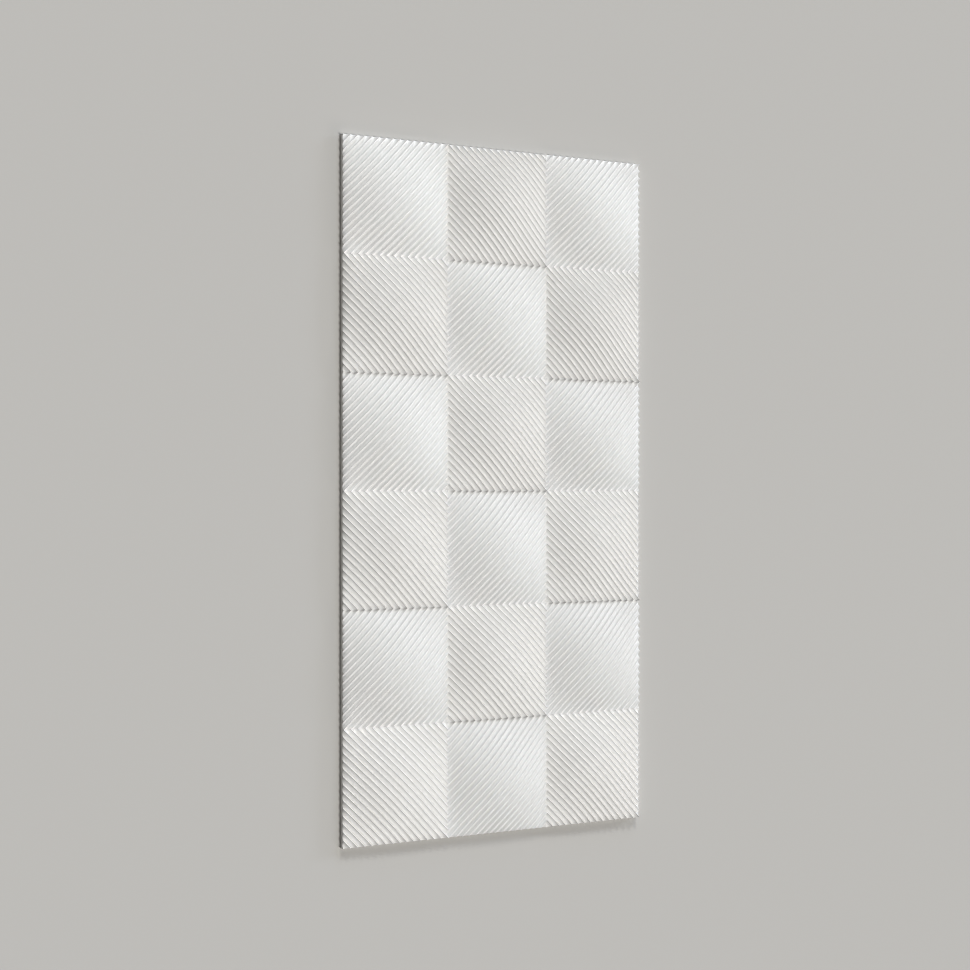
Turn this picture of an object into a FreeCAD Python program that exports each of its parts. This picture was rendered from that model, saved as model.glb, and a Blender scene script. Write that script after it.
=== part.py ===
import FreeCAD, Part
import os

# ---------------------------------------------------------------- dimensions (mm)
PANEL_W = 400.0        # short side, along X
PANEL_H = 800.0        # long side, along Y
COLS = 3               # squares across
ROWS = 6               # squares along
RIBS = 15              # rib pitches along one side of a square
BASE_T = 5.15          # flat back to the flute bottom at the panel's rim
RIB_H = 4.0            # flute bottom to rib crest
PILLOW_H = 11.0        # rise of a square's middle above its rim
FLUTE_K = 0.75         # flute section: 1 = parabola, less = flatter bottom and steeper sides
NODE = "wall_panel"

SIDE = PANEL_W / COLS  # side of one square
PITCH = 1.0 / RIBS     # rib pitch along a side, in sides

# ---------------------------------------------------------------- relief laws


def swell(t):
    """Even curve from 1 (t = 0) to -1 (t = 1), level at both: the pillow's section."""
    q = t * t
    return 1.0 - (44.0 * q - 34.0 * q * q + 8.0 * q * q * q) / 9.0


def rib(b):
    """Height of the rib section at the distance b across the ribs.

    Hollow round flutes that meet in narrow crests, with a crest at b = 0.
    """
    f = b / PITCH
    f = 2.0 * (f - int(f + 1e-9)) - 1.0
    q = f * f
    return RIB_H * (FLUTE_K * q + (1.0 - FLUTE_K) * q ** 4)


def reach(b):
    """Half length of the rib line at the distance b from the square's corner."""
    return b if b <= 1.0 else 2.0 - b


def height(a, b):
    return BASE_T + 0.5 * PILLOW_H * (swell(a) - swell(reach(b))) + rib(b)


# ---------------------------------------------------------------- Bezier helpers
DEG_A = 6              # along a rib
DEG_B = 8              # across a flute


def binom(n, k):
    r = 1
    for i in range(k):
        r = r * (n - i) // (i + 1)
    return r


def inverse(m):
    n = len(m)
    w = [list(m[i]) + [1.0 if i == j else 0.0 for j in range(n)] for i in range(n)]
    for c in range(n):
        p = max(range(c, n), key=lambda r: abs(w[r][c]))
        w[c], w[p] = w[p], w[c]
        d = w[c][c]
        w[c] = [x / d for x in w[c]]
        for r in range(n):
            if r != c and w[r][c] != 0.0:
                k = w[r][c]
                w[r] = [x - k * y for x, y in zip(w[r], w[c])]
    return [row[n:] for row in w]


def to_poles(n):
    """Matrix from values at n + 1 even steps to Bezier ordinates of degree n."""
    return inverse([[binom(n, k) * (i / n) ** k * (1 - i / n) ** (n - k)
                     for k in range(n + 1)] for i in range(n + 1)])


INV_A = to_poles(DEG_A)
INV_B = to_poles(DEG_B)


def apply(m, v):
    return [sum(a * b for a, b in zip(row, v)) for row in m]


def surface(poles):
    nu, nv = len(poles), len(poles[0])
    s = Part.BSplineSurface()
    s.buildFromPolesMultsKnots(poles, [nu, nu], [nv, nv], [0.0, 1.0], [0.0, 1.0],
                               False, False, nu - 1, nv - 1)
    return s


def curve(poles):
    n = len(poles)
    c = Part.BSplineCurve()
    c.buildFromPolesMultsKnots(poles, [n, n], [0.0, 1.0], False, n - 1)
    return c


# ---------------------------------------------------------------- one square
class Square:
    """Square in column i (from -X) and row j (from +Y).

    Ribs rise towards +X +Y where i + j is even and towards +X -Y where it is odd.
    b runs across the ribs from one corner to the opposite one (0 to 2, in sides),
    a runs along them.
    """

    def __init__(self, i, j):
        self.x0 = -PANEL_W / 2 + i * SIDE
        self.ytop = PANEL_H / 2 - j * SIDE
        self.up = (i + j) % 2 == 0

    def point(self, a, b, z):
        u, v = 0.5 * (b + a), 0.5 * (b - a)
        if not self.up:
            v = 1.0 - v
        return FreeCAD.Vector(self.x0 + u * SIDE, self.ytop - v * SIDE, z)

    def strip(self, b0, b1):
        """Front face between two crests."""
        val = []
        for i in range(DEG_A + 1):
            s = 2.0 * i / DEG_A - 1.0
            row = []
            for j in range(DEG_B + 1):
                b = b0 + (b1 - b0) * j / DEG_B
                row.append(height(s * reach(b), b))
            val.append(apply(INV_B, row))
        cols = [apply(INV_A, [val[i][j] for i in range(DEG_A + 1)])
                for j in range(DEG_B + 1)]
        poles = []
        for i in range(DEG_A + 1):
            s = 2.0 * i / DEG_A - 1.0
            row = []
            for j in range(DEG_B + 1):
                t = j / DEG_B
                b = b0 + (b1 - b0) * t
                half = reach(b0) + (reach(b1) - reach(b0)) * t
                row.append(self.point(s * half, b, cols[j][i]))
            poles.append(row)
        return surface(poles).toShape()

    def rim_edge(self, end, b0, b1):
        """Rib section on the square's rim; end is -1 or +1 along the rib."""
        z = apply(INV_B, [height(end * reach(b0 + (b1 - b0) * j / DEG_B),
                                 b0 + (b1 - b0) * j / DEG_B)
                          for j in range(DEG_B + 1)])
        out = []
        for j in range(DEG_B + 1):
            t = j / DEG_B
            half = reach(b0) + (reach(b1) - reach(b0)) * t
            out.append(self.point(end * half, b0 + (b1 - b0) * t, z[j]))
        return curve(out).toShape()

    def cuts(self):
        """Lines that bound the front faces: all crests, from corner to corner."""
        return [k * PITCH for k in range(RIBS)] + [1.0] + [
            1.0 + k * PITCH for k in range(1, RIBS)] + [2.0]

    def front(self):
        c = self.cuts()
        return [self.strip(p, q) for p, q in zip(c[:-1], c[1:])]


# ---------------------------------------------------------------- the panel
squares = {(i, j): Square(i, j) for i in range(COLS) for j in range(ROWS)}
faces = []
for key in sorted(squares):
    faces += squares[key].front()

V = FreeCAD.Vector
X, Y = PANEL_W / 2, PANEL_H / 2
RIM = BASE_T + RIB_H   # height of the front at the squares' corners


def side(p0, p1, edges):
    """Upright side face from p0 to p1 under the given rib edges."""
    lift = V(0, 0, RIM)
    all_edges = edges + [Part.makeLine(p0, p1), Part.makeLine(p0, p0 + lift),
                         Part.makeLine(p1, p1 + lift)]
    return Part.Face(Part.Wire(Part.__sortEdges__(all_edges)))


def rim_chain(keys, on_line):
    """Edges of the given squares' front faces that lie on one side of the panel."""
    out = []
    for k in keys:
        sq = squares[k]
        c = sq.cuts()
        for b0, b1 in zip(c[:-1], c[1:]):
            for end in (-1, 1):
                e = sq.rim_edge(end, b0, b1)
                if all(on_line(v.Point) for v in e.Vertexes):
                    out.append(e)
    return out


EPS = 1e-6
faces.append(side(V(-X, -Y, 0), V(-X, Y, 0), rim_chain(
    [(0, j) for j in range(ROWS)], lambda p: abs(p.x + X) < EPS)))
faces.append(side(V(X, -Y, 0), V(X, Y, 0), rim_chain(
    [(COLS - 1, j) for j in range(ROWS)], lambda p: abs(p.x - X) < EPS)))
faces.append(side(V(-X, Y, 0), V(X, Y, 0), rim_chain(
    [(i, 0) for i in range(COLS)], lambda p: abs(p.y - Y) < EPS)))
faces.append(side(V(-X, -Y, 0), V(X, -Y, 0), rim_chain(
    [(i, ROWS - 1) for i in range(COLS)], lambda p: abs(p.y + Y) < EPS)))
faces.append(Part.Face(Part.makePolygon([V(-X, -Y, 0), V(X, -Y, 0), V(X, Y, 0),
                                         V(-X, Y, 0), V(-X, -Y, 0)])))

shell = Part.makeCompound(faces)
shell.sewShape(1e-4)
shells = shell.Shells
panel = Part.Solid(shells[0])
if panel.Volume < 0:
    panel.reverse()

print("faces", len(panel.Faces), "shells", len(shells), "valid", panel.isValid(),
      "closed", shells[0].isClosed(), "volume_cm3", panel.Volume / 1000.0)
print("box", panel.BoundBox)

os.makedirs("parts", exist_ok=True)
panel.exportStep("parts/%s.step" % NODE)
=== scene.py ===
import math

import bpy
from mathutils import Matrix, Vector


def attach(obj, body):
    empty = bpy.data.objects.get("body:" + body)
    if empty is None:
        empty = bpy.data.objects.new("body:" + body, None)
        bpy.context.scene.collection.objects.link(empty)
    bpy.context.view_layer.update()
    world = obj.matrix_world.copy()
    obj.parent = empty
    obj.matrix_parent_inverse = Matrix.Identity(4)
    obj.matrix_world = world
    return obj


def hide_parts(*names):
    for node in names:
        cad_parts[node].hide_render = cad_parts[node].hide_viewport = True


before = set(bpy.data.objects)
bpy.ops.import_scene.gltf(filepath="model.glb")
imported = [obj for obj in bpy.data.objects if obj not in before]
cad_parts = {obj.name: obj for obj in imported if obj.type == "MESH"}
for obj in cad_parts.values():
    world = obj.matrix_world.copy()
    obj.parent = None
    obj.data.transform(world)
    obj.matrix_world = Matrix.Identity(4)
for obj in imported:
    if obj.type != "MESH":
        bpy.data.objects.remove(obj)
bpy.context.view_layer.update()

# ------------------------------------------------------------ sizes (metres)
PANEL_W = 0.400        # short side, along X
PANEL_H = 0.800        # long side, along Y
COLS = 3
ROWS = 6
RIBS = 15              # rib pitches along one side of a square
BASE_T = 0.00515       # back to the flute bottom at the rim
RIB_H = 0.0040         # flute bottom to rib crest
PILLOW_H = 0.0110      # rise of a square's middle above its rim
FLUTE_K = 0.75         # flute section: 1 = parabola, less = flatter bottom and steeper sides
BLUNT = 0.00010        # crests are worn down by this much
ARRIS = 0.00030        # softened outer edge

SIDE = PANEL_W / COLS
PITCH = 1.0 / RIBS


def swell(t):
    q = t * t
    return 1.0 - (44.0 * q - 34.0 * q * q + 8.0 * q * q * q) / 9.0


def rib(t):
    """Flute section; t is 0 on the crest and 1 in the bottom of the flute."""
    q = (1.0 - t) ** 2
    return RIB_H * (FLUTE_K * q + (1.0 - FLUTE_K) * q ** 4) - (BLUNT if t == 0.0 else 0.0)


# lines across half a flute, from crest to bottom, closer together near the crest
HALF = (0.0, 0.03, 0.08, 0.16, 0.28, 0.46, 0.7, 1.0)
SEGS = 10              # steps along a flute between its two mitred ends
END = 0.0007           # distance of the last line from the flute's end


def cross_lines():
    """All lines across the flutes of a square: (distance b from its corner, t)."""
    out = []
    for k in range(2 * RIBS):
        for t in HALF[:-1]:
            out.append(((k + 0.5 * t) * PITCH, t))
        for t in reversed(HALF[1:]):
            out.append(((k + 1 - 0.5 * t) * PITCH, t))
    out.append((2.0, 0.0))
    return out


def build_panel():
    verts, faces, index = [], [], {}

    def vert(x, y, z):
        key = (round(x * 1e7), round(y * 1e7), round(z * 1e7))
        if key not in index:
            index[key] = len(verts)
            verts.append((x, y, z))
        return index[key]

    lines = cross_lines()
    rim = {"l": {}, "r": {}, "t": {}, "b": {}}
    for i in range(COLS):
        for j in range(ROWS):
            x0 = -PANEL_W / 2 + i * SIDE
            ytop = PANEL_H / 2 - j * SIDE
            up = (i + j) % 2 == 0
            rows = []
            for b, t in lines:
                reach = b if b <= 1.0 else 2.0 - b
                end = min(END * math.sqrt(2.0) / SIDE, 0.25 * reach)
                if reach < 1e-9:
                    stops = [0.0]
                else:
                    inner = reach - end
                    stops = [-reach] + [inner * (2.0 * n / SEGS - 1.0)
                                        for n in range(SEGS + 1)] + [reach]
                row = []
                for a in stops:
                    u, v = 0.5 * (b + a), 0.5 * (b - a)
                    if not up:
                        v = 1.0 - v
                    z = BASE_T + rib(t) + 0.5 * PILLOW_H * (swell(a) - swell(reach))
                    x, y = x0 + u * SIDE, ytop - v * SIDE
                    on = []
                    if i == 0 and u < 1e-7:
                        on.append("l")
                    if i == COLS - 1 and u > 1 - 1e-7:
                        on.append("r")
                    if j == 0 and v < 1e-7:
                        on.append("t")
                    if j == ROWS - 1 and v > 1 - 1e-7:
                        on.append("b")
                    if on:
                        z -= ARRIS
                    n = vert(x, y, z)
                    for side in on:
                        rim[side][n] = y if side in "lr" else x
                    row.append(n)
                rows.append(row)
            for lo, hi in zip(rows[:-1], rows[1:]):
                count = max(len(lo), len(hi))
                lo = lo * count if len(lo) == 1 else lo
                hi = hi * count if len(hi) == 1 else hi
                for n in range(count - 1):
                    ring = [lo[n], lo[n + 1], hi[n + 1], hi[n]]
                    ring = [p for k, p in enumerate(ring) if p != ring[k - 1]]
                    faces.append(ring if not up else ring[::-1])
    front = len(faces)

    # upright sides: one strip of rib outline over one straight foot per square
    def wall(side, fixed, count, lo, step, flip):
        ids = sorted(rim[side], key=lambda n: rim[side][n])
        for k in range(count):
            p0, p1 = lo + k * step, lo + (k + 1) * step
            part = [n for n in ids if p0 - 1e-7 < rim[side][n] < p1 + 1e-7]
            if side in "lr":
                foot = [vert(fixed, p1, 0.0), vert(fixed, p0, 0.0)]
            else:
                foot = [vert(p1, fixed, 0.0), vert(p0, fixed, 0.0)]
            ring = part + foot
            faces.append(ring[::-1] if flip else ring)

    wall("l", -PANEL_W / 2, ROWS, -PANEL_H / 2, SIDE, False)
    wall("r", PANEL_W / 2, ROWS, -PANEL_H / 2, SIDE, True)
    wall("t", PANEL_H / 2, COLS, -PANEL_W / 2, SIDE, False)
    wall("b", -PANEL_H / 2, COLS, -PANEL_W / 2, SIDE, True)

    # flat back
    for i in range(COLS):
        for j in range(ROWS):
            x0, x1 = -PANEL_W / 2 + i * SIDE, -PANEL_W / 2 + (i + 1) * SIDE
            y0, y1 = -PANEL_H / 2 + j * SIDE, -PANEL_H / 2 + (j + 1) * SIDE
            faces.append([vert(x0, y0, 0.0), vert(x0, y1, 0.0),
                          vert(x1, y1, 0.0), vert(x1, y0, 0.0)])

    mesh = bpy.data.meshes.new("relief_panel")
    mesh.from_pydata(verts, [], faces)
    mesh.validate()
    smooth = [k < front for k in range(len(mesh.polygons))]
    mesh.polygons.foreach_set("use_smooth", smooth)
    mesh.update()
    obj = bpy.data.objects.new("relief_panel", mesh)
    bpy.context.scene.collection.objects.link(obj)
    return obj


panel = build_panel()


# ------------------------------------------------------------ material
def node(tree, kind, x, y, **values):
    n = tree.nodes.new(kind)
    n.location = (x, y)
    for k, v in values.items():
        n.inputs[k].default_value = v
    return n


def matt_white():
    m = bpy.data.materials.new("matt_white_body")
    m.use_nodes = True
    t = m.node_tree
    t.nodes.clear()
    out = node(t, "ShaderNodeOutputMaterial", 600, 0)
    sh = node(t, "ShaderNodeBsdfPrincipled", 300, 0)
    sh.inputs["Roughness"].default_value = 0.55
    sh.inputs["Specular IOR Level"].default_value = 0.35
    co = node(t, "ShaderNodeTexCoord", -900, 0)
    big = node(t, "ShaderNodeTexNoise", -600, 200, Scale=9.0, Detail=3.0)
    t.links.new(co.outputs["Object"], big.inputs["Vector"])
    ramp = node(t, "ShaderNodeValToRGB", -300, 200)
    ramp.color_ramp.elements[0].position = 0.3
    ramp.color_ramp.elements[0].color = (0.845, 0.838, 0.825, 1.0)
    ramp.color_ramp.elements[1].position = 0.7
    ramp.color_ramp.elements[1].color = (0.872, 0.868, 0.858, 1.0)
    t.links.new(big.outputs["Fac"], ramp.inputs["Fac"])
    t.links.new(ramp.outputs["Color"], sh.inputs["Base Color"])
    fine = node(t, "ShaderNodeTexNoise", -600, -250, Scale=1400.0, Detail=2.0)
    t.links.new(co.outputs["Object"], fine.inputs["Vector"])
    bump = node(t, "ShaderNodeBump", -50, -250, Strength=0.05, Distance=0.0002)
    t.links.new(fine.outputs["Fac"], bump.inputs["Height"])
    t.links.new(bump.outputs["Normal"], sh.inputs["Normal"])
    t.links.new(sh.outputs["BSDF"], out.inputs["Surface"])
    return m


panel.data.materials.append(matt_white())
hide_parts("wall_panel")
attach(panel, "root")


# ------------------------------------------------------------ floor
def pale_floor():
    mesh = bpy.data.meshes.new("floor")
    s = 6.0
    mesh.from_pydata([(-s, -s, 0), (s, -s, 0), (s, s, 0), (-s, s, 0)], [],
                     [(0, 1, 2, 3)])
    o = bpy.data.objects.new("floor", mesh)
    bpy.context.scene.collection.objects.link(o)
    m = bpy.data.materials.new("floor_paint")
    m.use_nodes = True
    sh = m.node_tree.nodes["Principled BSDF"]
    sh.inputs["Base Color"].default_value = (0.523, 0.511, 0.489, 1.0)
    sh.inputs["Roughness"].default_value = 0.9
    sh.inputs["Specular IOR Level"].default_value = 0.1
    mesh.materials.append(m)
    return o


pale_floor()

# ------------------------------------------------------------ light
scene = bpy.context.scene
world = bpy.data.worlds.new("studio")
scene.world = world
world.use_nodes = True
bg = world.node_tree.nodes["Background"]
bg.inputs["Color"].default_value = (0.513, 0.505, 0.482, 1.0)
bg.inputs["Strength"].default_value = 1.0
# a pale backdrop above the floor's edge that gives no light of its own
world.cycles_visibility.diffuse = False
world.cycles_visibility.glossy = False
world.cycles_visibility.transmission = False
world.cycles_visibility.scatter = False

# soft distant lights: degrees from upright, degrees round from +X, width in degrees,
# light on a face turned straight to it (red, green, blue)
LIGHTS = (
    (62.0, 90.0, 12.0, 0.403, 0.398, 0.377),
    (20.0, 315.0, 16.0, 0.517, 0.514, 0.506),
    (75.0, 20.0, 12.0, 0.232, 0.258, 0.300),
    (68.0, 315.0, 16.0, 0.165, 0.152, 0.142),
    (62.0, 65.0, 12.0, 0.096, 0.108, 0.134),
    (35.0, 315.0, 16.0, 0.145, 0.142, 0.134),
    (75.0, 75.0, 12.0, 0.072, 0.085, 0.103),
)


def soft_light(name, lean, turn, width, red, green, blue):
    data = bpy.data.lights.new(name, "SUN")
    top = max(red, green, blue)
    data.energy = math.pi * top
    data.color = (red / top, green / top, blue / top)
    data.angle = math.radians(width)
    o = bpy.data.objects.new(name, data)
    lean, turn = math.radians(lean), math.radians(turn)
    d = Vector((math.sin(lean) * math.cos(turn), math.sin(lean) * math.sin(turn),
                math.cos(lean)))
    o.rotation_euler = d.to_track_quat("Z", "Y").to_euler()
    scene.collection.objects.link(o)


for n, row in enumerate(LIGHTS):
    soft_light("light_%d" % n, *row)

# ------------------------------------------------------------ camera
cam_data = bpy.data.cameras.new("camera")
cam_data.sensor_fit = "HORIZONTAL"
cam_data.sensor_width = 36.0
cam_data.lens = 68.547
cam = bpy.data.objects.new("camera", cam_data)
YAW = math.radians(29.733)
look = Vector((math.sin(YAW), 0.0, -math.cos(YAW)))
right = Vector((math.cos(YAW), 0.0, math.sin(YAW)))
up = Vector((0.0, 1.0, 0.0))
place = Vector((-1.3576 * PANEL_H, 0.0087 * PANEL_H,
                2.3371 * PANEL_H + 0.00865))
cam.matrix_world = Matrix((
    (right.x, up.x, -look.x, place.x),
    (right.y, up.y, -look.y, place.y),
    (right.z, up.z, -look.z, place.z),
    (0.0, 0.0, 0.0, 1.0)))
cam_data.clip_start = 0.01
cam_data.clip_end = 50.0
scene.collection.objects.link(cam)
scene.camera = cam

scene.view_settings.view_transform = "Standard"
scene.view_settings.look = "None"
scene.cycles.filter_width = 1.0
